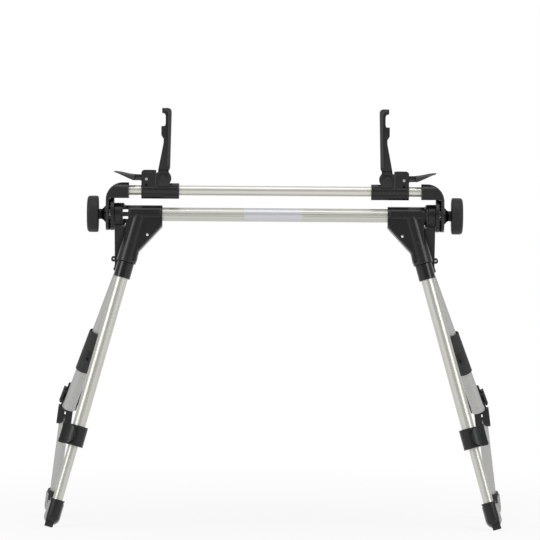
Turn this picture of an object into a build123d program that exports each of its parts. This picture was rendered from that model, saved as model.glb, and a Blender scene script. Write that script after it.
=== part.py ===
from build123d import *
import os
from math import cos, radians, sin, sqrt

# Adjustable tablet floor stand. Millimetres and degrees, +Z up, +X to the viewer's right.
# The viewer stands on the -Y side. The origin is on the floor, at the centre of the footprint.
# Everything is modelled on the +X side and mirrored to the -X side, where the bracket has two windows more.

# Stance
bar_height = 291.1
bar_forward = 31.9
front_cross_inset = 9.7
front_splay = 15.5
front_tilt = 6.0
rear_cross_inset = 11.0
rear_splay = 19.7
rear_tilt = 18.0
lower_splay = 7.5
knee_share = 0.75335

# Fits
running_fit = 0.08
side_gap = 0.3
overrun = 1.0

# Lower bar
bar_length = 272.0
bar_diameter = 12.7
bar_wall = 1.2
flute_count = 12
flute_width = 0.8
flute_depth = 0.3
plug_length = 16.0

# Front bracket
bracket_engagement = 30.8
sleeve_wall = 2.05
window_gap = 1.0
window_length = 5.2
window_end_wall = 0.9
window_height = 2.4
window_offset = 3.2
shoulder_diameter = 21.1
shoulder_length = 1.6
shoulder_taper = 2.0
spigot_diameter = 12.0
front_socket_diameter = 18.2
front_socket_end = 46.7
front_socket_top = 2.0
tube_top_clearance = 10.0
gusset_thickness = 16.0
gusset_corner_drop = 11.6
gusset_waist_inset = 9.0
gusset_waist_drop = 35.3
gusset_step = 2.0
gusset_hole_diameter = 2.6
gusset_hole_inset = 13.8
gusset_hole_drop = 19.7
bracket_pin_diameter = 2.4
bracket_pin_distance = 27.3
collar_diameter = 15.7
collar_end = 61.9

# Leg tubes
wide_tube_diameter = 12.2
narrow_tube_diameter = 9.4
narrow_tube_wall = 1.0

# Front flip lock
lock_distance = 215.3
lock_height = 19.0
lock_diameter = 18.0
lever_pin_diameter = 2.0
lever_pin_out = 12.4
lever_pin_forward = 1.4
ear_radius = 2.4
knuckle_radius = 2.2
knuckle_height = 10.4
ear_root_inset = 3.0
paddle_thickness = 2.2
paddle_radius = 10.0
paddle_overhang = 1.5
paddle_tip_x = 0.3
web_width = 2.4

# Front lower tube
front_tube_overlap = 74.0

# Foot
foot_length = 26.7
cap_diameter = 13.0
cap_bottom = 6.4
cap_lip = 0.5
cap_lip_height = 1.2
foot_socket_depth = 13.5
shell_diameter = 15.2
shell_bottom = 3.9
shell_out = 0.5
shell_back = 1.0
shell_drop = 1.6
shell_turn = 25.0
shell_reach = 1.0
pad_width = 7.6
pad_out = 1.3
pad_height = 5.0
pad_flat = 0.9

# Rear bracket
ring_width = 6.5
arm_depth = 8.0
arm_drop = 50.0
web_inner_x_inset = 3.5
web_top_drop = 11.4
web_bottom_drop = 34.0
web_clearance = 0.8
rear_socket_diameter = 13.2
rear_socket_start = 43.0
rear_socket_end = 60.2
rear_tube_start = 47.0
eyelet_diameter = 4.8
eyelet_hole = 2.0
eyelet_thickness = 3.0
eyelet_out = 1.1
eyelet_drop = 44.4

# Rear leg
rear_tube_rise = 47.3
grip_rise = 94.2
grip_length = 41.3
grip_diameter = 14.2
grip_mouth = 3.0
grip_mouth_diameter = 12.4
grip_slider = 6.0
recess_width = 7.5
recess_length = 10.5
recess_depth = 0.5
recess_drop = 23.5
middle_tube_rise = 16.1
tube_lip_height = 4.4
tube_lip = 0.3
knee_plug_length = 13.0

# Knee
fork_width = 14.2
fork_depth = 10.0
fork_cheek_drop = 4.2
fork_slot_width = 1.2
fork_slot_height = 4.5
knee_pin_diameter = 3.0
knee_fold = 120.0
knuckle_neck = 3.0
knuckle_plug_length = 11.0
tongue_wall = 2.2
tongue_length = 19.2
tongue_wrap = 28.0
rear_pin_out = 8.9
rear_pin_back = 3.2
rear_ear_radius = 2.0
rear_knuckle_radius = 1.8
rear_knuckle_height = 6.0
rear_paddle_radius = 7.8
rear_ear_round = 8.4
rear_lever_rise = 5.6
rear_lever_height = 15.6

# Toothed joint and knob
disc_diameter = 30.4
disc_thickness = 3.0
tooth_count = 24
tooth_height = 0.8
tooth_inner_diameter = 18.0
hub_thickness = 2.8
bolt_diameter = 4.0
bolt_head_depth = 7.0
washer_diameter = 15.0
washer_thickness = 3.7
washer_rim = 1.2
washer_seat = 0.2
neck_diameter = 9.6
neck_length = 2.9
neck_gap = 0.1
knob_diameter = 34.1
knob_width = 10.7
knob_edge = 2.4
knob_inner_edge = 0.8

# Elbow and upper bar
upper_bar_rise = 22.4
upper_bar_diameter = 9.3
upper_bar_wall = 1.0
elbow_socket_diameter = 14.7
elbow_bend_radius = 16.0
elbow_socket_reach = 21.4
elbow_socket_depth = 9.5
disc_relief = 0.4

# Tablet clamp
clamp_inset = 46.3
clamp_length = 35.2
clamp_depth = 14.0
clamp_top = 6.7
clamp_bottom = 7.8
clamp_edge = 2.0
housing_length = 13.9
housing_top = 19.1
housing_corner = 3.0
slot_width = 6.8
slot_back = 2.2
rivet_inset = 4.7
rivet_rise = 10.5
rivet_diameter = 2.6
key_hole_width = 2.4
key_hole_rise = 4.9
pivot_inset = 20.1
pivot_rise = 11.2
pivot_diameter = 3.6
backing_radius = 7.6
backing_width = 12.4
lug_radius = 5.6
lug_recess_floor = 5.2
cheek_inner_y = 4.9
cheek_in = 6.3

# Clamp thumb lever
lever_thickness = 6.2
cam_radius = 5.2
lever_length = 30.2
lever_web_length = 10.8
thumb_width = 12.0
lever_root_top = 6.4
lever_root_bottom = 1.4
lever_tip_rise = 7.2
lever_tip_thickness = 1.2
lever_dip_share = 0.45
lever_heel_share = 0.32

# Hook arm
arm_top = 77.0
arm_lip_in = 7.6
arm_groove = 3.8
groove_width = 9.2
arm_groove_start = 20.0
arm_foot_in = 5.8
hook_out = 1.1
hook_height = 4.9
notch_in = 2.0
notch_bottom = 60.1
arm_lug_out = 1.8
arm_lug_bottom = 51.7
arm_waist_in = 0.3
arm_waist = 45.3
arm_heel_out = 4.5
arm_heel = 18.9


# Stations worked out from the sizes above, outwards along X
bar_end_x = bar_length / 2
bar_radius = bar_diameter / 2
bar_bore_radius = bar_radius - bar_wall
front_cross_x = bar_end_x - front_cross_inset
rear_cross_x = bar_end_x - rear_cross_inset
bracket_inner_x = bar_end_x - bracket_engagement
window_x = bar_end_x + window_gap
shoulder_x = window_x + window_length + window_end_wall
ring_inner_x = shoulder_x + side_gap
ring_outer_x = ring_inner_x + ring_width
disc_x = ring_outer_x + side_gap
disc_face_x = disc_x + disc_thickness
hub_face_x = disc_face_x + tooth_height + side_gap + tooth_height
hub_outer_x = hub_face_x + hub_thickness
washer_x = hub_outer_x + washer_seat
neck_x = washer_x + washer_thickness + neck_gap
knob_x = neck_x + neck_length
knob_outer_x = knob_x + knob_width

# Radii and lengths shared by pieces that fit each other
sleeve_radius = bar_radius + sleeve_wall
spigot_radius = spigot_diameter / 2
bolt_radius = bolt_diameter / 2
wide_radius = wide_tube_diameter / 2
narrow_radius = narrow_tube_diameter / 2
wide_bore_radius = narrow_radius + running_fit
narrow_bore_radius = narrow_radius - narrow_tube_wall
upper_radius = upper_bar_diameter / 2
lock_top = lock_distance - lock_height / 2
lock_bottom = lock_distance + lock_height / 2
collar_start = front_socket_end
front_floor_distance = bar_height / (cos(radians(front_splay)) * cos(radians(front_tilt)))
knee_distance = bar_height * knee_share
knee_height = bar_height - knee_distance * cos(radians(rear_splay)) * cos(radians(rear_tilt))
rear_floor_distance = knee_height / (cos(radians(lower_splay)) * cos(radians(rear_tilt)))
rear_tube_end = knee_distance - rear_tube_rise
grip_start = knee_distance - grip_rise
grip_end = grip_start + grip_length
middle_tube_end = knee_distance - middle_tube_rise
rear_lever_distance = middle_tube_end - rear_lever_rise
middle_tube_start = grip_start + grip_mouth + grip_slider
middle_tube_tip = middle_tube_end + tube_lip_height
knee_gap = narrow_radius + side_gap
elbow_inner_x = hub_outer_x - elbow_socket_reach
clamp_inner_x = bar_end_x - clamp_inset
clamp_outer_x = clamp_inner_x + clamp_length
rivet_x = clamp_outer_x - rivet_inset
pivot_x = clamp_outer_x - pivot_inset


# Frames of the sub-assemblies
bar_place = Pos(Y=-bar_forward, Z=bar_height)
front_leg_place = bar_place * Rot(X=-front_tilt) * Pos(X=front_cross_x) * Rot(Y=-front_splay)
rear_plane_place = bar_place * Rot(X=rear_tilt)
rear_leg_place = rear_plane_place * Pos(X=rear_cross_x) * Rot(Y=-rear_splay)
knee_place = rear_leg_place * Pos(Z=-knee_distance) * Rot(Y=rear_splay - lower_splay)
upper_bar_place = bar_place * Pos(Z=upper_bar_rise)
front_foot_place = front_leg_place * Pos(Z=-front_floor_distance)
rear_foot_place = knee_place * Pos(Z=-rear_floor_distance)


# Helpers
def x_rod(radius, start, end):
    """A round bar along X from start to end."""
    return Pos(X=(start + end) / 2) * Rot(Y=90) * Cylinder(radius, end - start)


def y_rod(radius, start, end):
    """A round bar along Y from start to end."""
    return Pos(Y=(start + end) / 2) * Rot(X=90) * Cylinder(radius, end - start)


def z_rod(radius, start, end):
    """A round bar along Z from start to end."""
    return Pos(Z=(start + end) / 2) * Cylinder(radius, end - start)


def leg_rod(radius, start, end):
    """A round bar down a leg, between two distances from the bar."""
    return z_rod(radius, -end, -start)


def block(x_start, x_end, y_start, y_end, z_start, z_end):
    """A box between two corners."""
    middle = Pos((x_start + x_end) / 2, (y_start + y_end) / 2, (z_start + z_end) / 2)
    return middle * Box(x_end - x_start, y_end - y_start, z_end - z_start)


def plate_xz(points, y_start, y_end):
    """A flat plate whose outline is given in X and Z, between two values of Y."""
    outline = make_face(Polyline(*[(x, 0, z) for x, z in points], close=True))
    return Pos(Y=y_start) * extrude(outline, y_end - y_start, dir=(0, 1, 0))


def plate_yz(points, x_start, x_end):
    """A flat plate whose outline is given in Y and Z, between two values of X."""
    outline = make_face(Polyline(*[(0, y, z) for y, z in points], close=True))
    return Pos(X=x_start) * extrude(outline, x_end - x_start, dir=(1, 0, 0))


# Lower bar
def lower_bar():
    """Fluted aluminium tube that joins the two brackets."""
    bar = x_rod(bar_radius, -bar_end_x, bar_end_x) - x_rod(bar_bore_radius, -bar_end_x, bar_end_x)
    flute_x = bracket_inner_x
    for turn in range(flute_count):
        groove = Pos(Z=bar_radius) * Box(2 * flute_x, flute_width, 2 * flute_depth)
        bar -= Rot(X=turn * 360 / flute_count) * groove
    return bar_place * bar


def bar_end_plug():
    """Threaded plug pressed into the end of the lower bar."""
    plug = x_rod(bar_bore_radius, bar_end_x - plug_length, bar_end_x)
    plug -= x_rod(bolt_radius + running_fit, bar_end_x - plug_length, bar_end_x)
    return bar_place * plug


# Front bracket
def gusset():
    """Flat web between the bar sleeve and the leg socket."""
    waist_z = -gusset_waist_drop
    waist_x = bar_end_x - gusset_waist_inset
    foot_x = waist_x + gusset_step
    points = [
        (bracket_inner_x, 0),
        (bracket_inner_x, -gusset_corner_drop),
        (waist_x, waist_z),
        (foot_x, waist_z - front_socket_diameter / 2),
        (front_cross_x + front_socket_end * sin(radians(front_splay)), waist_z),
        (shoulder_x - shoulder_length - shoulder_taper, 0),
    ]
    return plate_xz(points, -gusset_thickness / 2, gusset_thickness / 2)


def front_bracket():
    """Moulded bracket of the +X side: bar sleeve, shoulder and spigot, leg socket and gusset."""
    taper_x = shoulder_x - shoulder_length
    body = x_rod(sleeve_radius, bracket_inner_x, shoulder_x)
    body += x_rod(shoulder_diameter / 2, taper_x, shoulder_x)
    cone = Cone(sleeve_radius, shoulder_diameter / 2, shoulder_taper)
    body += Pos(X=taper_x - shoulder_taper / 2) * Rot(Y=90) * cone
    body += x_rod(spigot_radius, shoulder_x, disc_x)
    leg = Pos(X=front_cross_x) * Rot(Y=-front_splay)
    body += gusset()
    body += leg * leg_rod(front_socket_diameter / 2, front_socket_top, front_socket_end)
    body -= x_rod(bar_radius, bracket_inner_x - overrun, bar_end_x)
    body -= x_rod(bolt_radius + side_gap, bar_end_x - overrun, disc_x + overrun)
    body -= leg * leg_rod(wide_radius, tube_top_clearance, front_socket_end + overrun)
    half = front_socket_diameter / 2 + overrun
    pin_hole = leg * Pos(Z=-bracket_pin_distance) * y_rod(bracket_pin_diameter / 2, -half, half)
    body -= pin_hole
    hole_place = Pos(X=bracket_inner_x + gusset_hole_inset, Z=-gusset_hole_drop)
    body -= hole_place * y_rod(gusset_hole_diameter / 2, -half, half)
    return bar_place * Rot(X=-front_tilt) * body


def windowed_bracket():
    """The same bracket with two small windows through its sleeve, as on the -X side."""
    windows = []
    for side in (-1, 1):
        window = Box(window_length, 4 * sleeve_radius, window_height)
        windows.append(bar_place * Pos(X=window_x + window_length / 2, Z=side * window_offset) * window)
    return front_bracket() - windows


def bracket_pin():
    """Cross pin that fixes the leg tube in the front bracket."""
    half = front_socket_diameter / 2
    return front_leg_place * Pos(Z=-bracket_pin_distance) * y_rod(bracket_pin_diameter / 2, -half, half)


def front_collar():
    """Glossy collar on the leg tube under the bracket."""
    ring = leg_rod(collar_diameter / 2, collar_start, collar_end)
    return front_leg_place * (ring - leg_rod(wide_radius, collar_start, collar_end))


def front_upper_tube():
    """Wide tube from the bracket to the flip lock."""
    tube = leg_rod(wide_radius, tube_top_clearance, lock_distance)
    tube -= leg_rod(wide_bore_radius, tube_top_clearance, lock_distance)
    half = wide_radius + overrun
    tube -= Pos(Z=-bracket_pin_distance) * y_rod(bracket_pin_diameter / 2, -half, half)
    return front_leg_place * tube


# Flip lock
def lock_place():
    """Frame at the middle of the front flip lock."""
    return front_leg_place * Pos(Z=-lock_distance)


def front_lock():
    """Lock collar with two ears for its lever."""
    half = lock_height / 2
    pin = Pos(lever_pin_out, -lever_pin_forward)
    body = z_rod(lock_diameter / 2, -half, half)
    front_y = -lever_pin_forward - ear_radius
    back_y = ear_radius - lever_pin_forward
    body += block(lock_diameter / 2 - ear_root_inset, lever_pin_out, front_y, back_y, -half, half)
    body += pin * z_rod(ear_radius, -half, half)
    gap_half = knuckle_height / 2 + side_gap
    gap_x = lever_pin_out - knuckle_radius - side_gap
    ear_tip = lever_pin_out + ear_radius + overrun
    body -= block(gap_x, ear_tip, front_y - overrun, back_y + overrun, -gap_half, gap_half)
    body -= z_rod(wide_radius, 0, half + overrun)
    body -= z_rod(wide_bore_radius, -half - overrun, 0)
    body -= pin * z_rod(lever_pin_diameter / 2, -half, half)
    return lock_place() * body


def front_lever_pin():
    """Hinge pin of the flip lever."""
    pin = z_rod(lever_pin_diameter / 2, -lock_height / 2, lock_height / 2)
    return lock_place() * Pos(lever_pin_out, -lever_pin_forward) * pin


def paddle(pin_out, pin_forward, knuckle, ear, wrap_radius, height, round_radius, knuckle_tall):
    """Half-round flip lever around a round body, opening from the -Y side."""
    inner = wrap_radius + side_gap
    plate_y = -pin_forward - ear - side_gap
    outer = inner + paddle_thickness
    tall = height
    skin = z_rod(outer, -tall, tall) - z_rod(inner, -tall, tall)
    skin &= block(paddle_tip_x, outer, -outer, plate_y, -tall, tall)
    flat_end = pin_out + paddle_overhang
    flat = block(inner, flat_end, plate_y - paddle_thickness, plate_y, -tall, tall)
    skin += flat - z_rod(inner, -tall, tall)
    round_x = paddle_tip_x + round_radius
    round_edge = Pos(X=round_x) * y_rod(round_radius, -outer - overrun, 0)
    straight = block(round_x, flat_end + overrun, -outer - overrun, 0, -round_radius, round_radius)
    lever = skin & (round_edge + straight)
    pin = Pos(pin_out, -pin_forward)
    lever += pin * z_rod(knuckle, -knuckle_tall / 2, knuckle_tall / 2)
    web_x = pin_out - web_width / 2
    web_end = plate_y - paddle_thickness / 2
    lever += block(web_x, web_x + web_width, web_end, -pin_forward, -knuckle_tall / 2, knuckle_tall / 2)
    lever -= pin * z_rod(lever_pin_diameter / 2 + running_fit, -tall, tall)
    return lever


def front_lever():
    """Flip lever of the front leg."""
    wrap = lock_diameter / 2
    sizes = (wrap, lock_height, paddle_radius, knuckle_height)
    lever = paddle(lever_pin_out, lever_pin_forward, knuckle_radius, ear_radius, *sizes)
    return lock_place() * lever


def front_lower_tube():
    """Narrow tube that slides out of the front leg."""
    end = front_floor_distance - foot_length + foot_socket_depth
    start = lock_distance - front_tube_overlap
    tube = leg_rod(narrow_radius, start, end) - leg_rod(narrow_bore_radius, start, end)
    return front_leg_place * tube


# Feet
def bullet(radius, bottom, top):
    """A round bar with a ball end at its bottom."""
    return z_rod(radius, bottom + radius, top) + Pos(Z=bottom + radius) * Sphere(radius)


def foot_cap():
    """Black cap on the end of the leg tube."""
    cap = bullet(cap_diameter / 2, cap_bottom, foot_length)
    cap += z_rod(cap_diameter / 2 + cap_lip, foot_length - cap_lip_height, foot_length)
    cap -= z_rod(narrow_radius, foot_length - foot_socket_depth, foot_length + overrun)
    return cap


def foot_shell():
    """Grey shell round the back and the outer side of the cap."""
    top = foot_length - cap_lip_height - shell_drop
    shell = Pos(shell_out, shell_back) * bullet(shell_diameter / 2, shell_bottom, top)
    shell -= bullet(cap_diameter / 2, cap_bottom, foot_length)
    front = block(-shell_diameter, shell_diameter, -shell_diameter, -shell_reach, 0, foot_length)
    shell -= Rot(Z=-shell_turn) * front
    return shell


def foot(place):
    """Cap and shell of one foot, as two solids."""
    return [place * foot_cap(), place * foot_shell()]


def foot_pad(place, splay, tilt):
    """Rubber pad under a foot, cut flat where it meets the floor."""
    inner = pad_width / 2 - pad_out
    lowest = inner * sin(radians(splay)) * cos(radians(tilt)) + pad_width / 2 * sin(radians(tilt))
    bottom = (lowest - pad_flat) / (cos(radians(splay)) * cos(radians(tilt)))
    top = shell_bottom + pad_height
    pad = block(-inner, pad_width - inner, -pad_width / 2, pad_width / 2, bottom, top)
    pad -= bullet(cap_diameter / 2, cap_bottom, foot_length)
    pad -= Pos(shell_out, shell_back) * bullet(shell_diameter / 2, shell_bottom, foot_length)
    pad = split(place * pad, bisect_by=Plane.XY, keep=Keep.TOP)
    return pad.solids().sort_by(Axis.Z)[0]


# Rear bracket
def rear_bracket():
    """Hinged bracket: ring on the spigot, arm, leg socket and eyelet."""
    ring_radius = shoulder_diameter / 2
    body = x_rod(ring_radius, ring_inner_x, ring_outer_x)
    body += block(ring_inner_x, ring_outer_x, -arm_depth / 2, arm_depth / 2, -arm_drop, 0)
    web_x = bar_end_x + web_inner_x_inset
    body += block(web_x, ring_outer_x, -arm_depth / 2, arm_depth / 2, -web_bottom_drop, -web_top_drop)
    front_leg = Rot(X=-front_tilt - rear_tilt) * Pos(X=front_cross_x) * Rot(Y=-front_splay)
    body -= front_leg * leg_rod(front_socket_diameter / 2 + web_clearance, 0, front_socket_end)
    leg = Pos(X=rear_cross_x) * Rot(Y=-rear_splay)
    body += leg * leg_rod(rear_socket_diameter / 2, rear_socket_start, rear_socket_end)
    eyelet = Pos(X=ring_outer_x + eyelet_out, Z=-eyelet_drop)
    half = eyelet_thickness / 2
    body += eyelet * y_rod(eyelet_diameter / 2, -half, half)
    body -= eyelet * y_rod(eyelet_hole / 2, -arm_depth, arm_depth)
    body -= x_rod(spigot_radius + running_fit, ring_inner_x - overrun, ring_outer_x + overrun)
    body -= leg * leg_rod(narrow_radius, rear_tube_start, rear_socket_end + overrun)
    return rear_plane_place * body


def rear_upper_tube():
    """Narrow tube fixed in the rear bracket."""
    tube = leg_rod(narrow_radius, rear_tube_start, rear_tube_end)
    return rear_leg_place * (tube - leg_rod(narrow_bore_radius, rear_tube_start, rear_tube_end))


# Rear middle section
def rear_grip():
    """Black sleeve at the mouth of the sliding tube."""
    body = leg_rod(grip_diameter / 2, grip_start, grip_end)
    body -= leg_rod(grip_mouth_diameter / 2, grip_start - overrun, grip_start + grip_mouth)
    body -= leg_rod(wide_bore_radius, grip_start, middle_tube_start)
    body -= leg_rod(wide_radius, middle_tube_start, grip_end + overrun)
    recess = Box(recess_width, 2 * recess_depth, recess_length)
    body -= Pos(Y=-grip_diameter / 2, Z=-grip_start - recess_drop) * recess
    return rear_leg_place * body


def rear_middle_tube():
    """Wide tube that slides on the narrow one and carries the knee."""
    tube = leg_rod(wide_radius, middle_tube_start, middle_tube_tip)
    tube += leg_rod(wide_radius + tube_lip, middle_tube_end, middle_tube_tip)
    return rear_leg_place * (tube - leg_rod(wide_bore_radius, middle_tube_start, middle_tube_tip))


def knee_sweep():
    """Room that the lower leg needs as it folds back."""
    reach = 4 * fork_width
    rise = reach * cos(radians(180 - knee_fold)) / sin(radians(180 - knee_fold))
    sector = plate_yz([(0, 0), (0, -reach), (reach, -reach), (reach, rise)], -knee_gap, knee_gap)
    room = sector + Sphere(knee_gap) + z_rod(knee_gap, -reach, 0)
    return room + Rot(X=knee_fold) * z_rod(knee_gap, -reach, 0)


def knee_fork():
    """Knee casting: plug in the wide tube, two cheeks and a tongue that carries the lever."""
    half = fork_width / 2
    fork_top = knee_distance - middle_tube_tip
    body = block(-half, half, -fork_depth / 2, fork_depth / 2, 0, fork_top + overrun)
    body += x_rod(fork_depth / 2, -half, half)
    body -= knee_sweep()
    slot_top = knee_gap + fork_slot_height
    body -= block(-fork_slot_width / 2, fork_slot_width / 2, -fork_depth, fork_depth, 0, slot_top)
    body -= x_rod(knee_pin_diameter / 2, -half, half)
    body = Pos(Z=-knee_distance) * Rot(Y=rear_splay - lower_splay) * body
    above = leg_rod(2 * fork_width, 0, middle_tube_tip)
    body -= above
    body += leg_rod(wide_bore_radius, middle_tube_end - knee_plug_length, middle_tube_tip + overrun)
    tongue_start = middle_tube_end - tongue_length
    tongue = leg_rod(wide_radius + tongue_wall, tongue_start, middle_tube_tip + fork_slot_width)
    tongue -= leg_rod(wide_radius + tube_lip, 0, middle_tube_tip)
    tongue += leg_rod(wide_radius + tube_lip, tongue_start, middle_tube_end)
    tongue -= leg_rod(wide_radius, 0, middle_tube_end)
    reach = 2 * fork_width
    wedge_y = wide_radius * sin(radians(tongue_wrap))
    tongue &= block(-reach, reach, wedge_y, reach, -2 * knee_distance, 0)
    body += tongue + rear_ears()
    gap = rear_knuckle_height / 2 + side_gap
    gap_x = rear_pin_out - rear_knuckle_radius - side_gap
    tip_x = rear_pin_out + rear_ear_radius + overrun
    body -= Pos(Z=-rear_lever_distance) * block(gap_x, tip_x, -fork_width, fork_width, -gap, gap)
    return rear_leg_place * body


def rear_ears():
    """Two ears on the tongue for the pin of the knee lever."""
    half = rear_lever_height / 2
    pin = Pos(rear_pin_out, rear_pin_back)
    root = wide_radius * cos(radians(tongue_wrap))
    ears = pin * z_rod(rear_ear_radius, -half, half)
    front_y = rear_pin_back - rear_ear_radius
    back_y = rear_pin_back + rear_ear_radius
    ears += block(root, rear_pin_out, front_y, back_y, -half, half)
    round_x = rear_pin_out + rear_ear_radius - rear_ear_round
    ears &= Pos(X=round_x) * y_rod(rear_ear_round, -fork_width, fork_width)
    ears -= z_rod(wide_radius + tube_lip, -half, half)
    ears -= pin * z_rod(lever_pin_diameter / 2, -half, half)
    return Pos(Z=-rear_lever_distance) * ears


def rear_pins():
    """Knee pin and lever pin of one rear leg."""
    knee_pin = knee_place * x_rod(knee_pin_diameter / 2, -fork_width / 2, fork_width / 2)
    half = rear_lever_height / 2
    lever_pin = z_rod(lever_pin_diameter / 2, -half, half)
    return [knee_pin, rear_leg_place * Pos(rear_pin_out, rear_pin_back, -rear_lever_distance) * lever_pin]


def rear_lever():
    """Half-round lever behind the knee."""
    wrap = wide_radius + tongue_wall
    sizes = (wrap, rear_lever_height, rear_paddle_radius, rear_knuckle_height)
    lever = paddle(rear_pin_out, rear_pin_back, rear_knuckle_radius, rear_ear_radius, *sizes)
    return rear_leg_place * Pos(Z=-rear_lever_distance) * mirror(lever, about=Plane.XZ)


# Rear lower section
def rear_knuckle():
    """Round-ended plug of the lower leg, between the cheeks."""
    body = Sphere(narrow_radius) + z_rod(narrow_radius, -knuckle_neck, 0)
    body += z_rod(narrow_bore_radius, -knuckle_neck - knuckle_plug_length, -knuckle_neck)
    body -= x_rod(knee_pin_diameter / 2 + running_fit, -fork_width, fork_width)
    return knee_place * body


def rear_lower_tube():
    """Narrow tube from the knee to the rear foot."""
    end = rear_floor_distance - foot_length + foot_socket_depth
    tube = leg_rod(narrow_radius, knuckle_neck, end) - leg_rod(narrow_bore_radius, knuckle_neck, end)
    return knee_place * tube


# Toothed joint
def tooth_ring(face_x, out):
    """Radial teeth on a face; out is 1 where they point outwards along X and -1 inwards."""
    outer = disc_diameter / 2 - side_gap
    inner = tooth_inner_diameter / 2
    half_angle = radians(180 / tooth_count)
    half = outer * sin(half_angle)
    tip_x = face_x + out * tooth_height
    back_x = face_x - out * tooth_height
    tooth = make_face(Polyline((back_x, -half, 0), (tip_x, 0, 0), (back_x, half, 0), close=True))
    tooth = Pos(Z=inner) * extrude(tooth, outer - inner, dir=(0, 0, 1))
    teeth = [Rot(X=turn * 360 / tooth_count) * tooth for turn in range(tooth_count)]
    return Part() + teeth & x_rod(outer, min(back_x, tip_x), max(back_x, tip_x))


def toothed_disc():
    """Fixed disc of the tilt joint."""
    body = x_rod(disc_diameter / 2, disc_x, disc_face_x) + tooth_ring(disc_face_x, 1)
    return bar_place * (body - x_rod(bolt_radius + side_gap, disc_x - overrun, hub_face_x))


def dome_washer():
    """Domed washer between the knob and the elbow."""
    rim = x_rod(washer_diameter / 2, washer_x, washer_x + washer_rim)
    slope = Cone(washer_diameter / 2, neck_diameter / 2, washer_thickness - washer_rim)
    rim += Pos(X=(washer_x + washer_rim + neck_x - neck_gap) / 2) * Rot(Y=90) * slope
    return bar_place * (rim - x_rod(bolt_radius + side_gap, washer_x - overrun, neck_x))


def knob():
    """Tightening knob with a short neck."""
    wheel = x_rod(knob_diameter / 2, knob_x, knob_outer_x)
    rims = wheel.edges().filter_by(GeomType.CIRCLE).sort_by(Axis.X)
    wheel = fillet(rims[-1], knob_edge)
    rims = wheel.edges().filter_by(GeomType.CIRCLE).sort_by(Axis.X)
    wheel = fillet(rims[0], knob_inner_edge)
    wheel += x_rod(neck_diameter / 2, neck_x, knob_x)
    return bar_place * (wheel - x_rod(bolt_radius, neck_x - overrun, knob_x + bolt_head_depth))


def knob_bolt():
    """Bolt fixed in the knob and threaded into the plug."""
    return bar_place * x_rod(bolt_radius, bar_end_x - plug_length, knob_x + bolt_head_depth)


# Cradle
def elbow():
    """Elbow arm: toothed hub below, socket for the upper bar above."""
    hub = disc_diameter / 2
    socket = elbow_socket_diameter / 2
    bend_x = hub_outer_x - elbow_bend_radius
    bend_z = upper_bar_rise + socket - elbow_bend_radius
    low_z = upper_bar_rise - socket
    outline = Polyline(
        (bend_x, 0, bend_z + elbow_bend_radius),
        (elbow_inner_x, 0, bend_z + elbow_bend_radius),
        (elbow_inner_x, 0, low_z),
        (hub_face_x, 0, low_z),
        (hub_face_x, 0, -hub),
        (hub_outer_x, 0, -hub),
        (hub_outer_x, 0, bend_z),
    )
    bend_share = sqrt(2) / 2
    middle = (bend_x + elbow_bend_radius * bend_share, 0, bend_z + elbow_bend_radius * bend_share)
    bend = ThreePointArc((hub_outer_x, 0, bend_z), middle, (bend_x, 0, bend_z + elbow_bend_radius))
    face = make_face(outline + bend)
    front = Pos(Y=-hub) * extrude(face, 2 * hub, dir=(0, 1, 0))
    lean = (hub - socket) / upper_bar_rise
    rise = sqrt(1 - lean * lean)
    flank = [
        (-hub * rise, hub * lean),
        (hub * rise, hub * lean),
        (socket * rise, upper_bar_rise + socket * lean),
        (-socket * rise, upper_bar_rise + socket * lean),
    ]
    side = plate_yz(flank, elbow_inner_x, hub_outer_x)
    side += x_rod(hub, elbow_inner_x, hub_outer_x)
    side += Pos(Z=upper_bar_rise) * x_rod(socket, elbow_inner_x, hub_outer_x)
    body = front & side
    body += tooth_ring(hub_face_x, -1)
    relief = hub + disc_relief
    body -= x_rod(relief, elbow_inner_x, hub_face_x - tooth_height)
    body -= x_rod(bolt_radius + side_gap, disc_x, hub_outer_x + overrun)
    bore_end = elbow_inner_x + elbow_socket_depth
    body -= Pos(Z=upper_bar_rise) * x_rod(upper_radius, elbow_inner_x - overrun, bore_end)
    return bar_place * body


def upper_bar():
    """Smooth tube that carries the clamps."""
    end = elbow_inner_x + elbow_socket_depth
    bar = x_rod(upper_radius, -end, end) - x_rod(upper_radius - upper_bar_wall, -end, end)
    return upper_bar_place * bar


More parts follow.
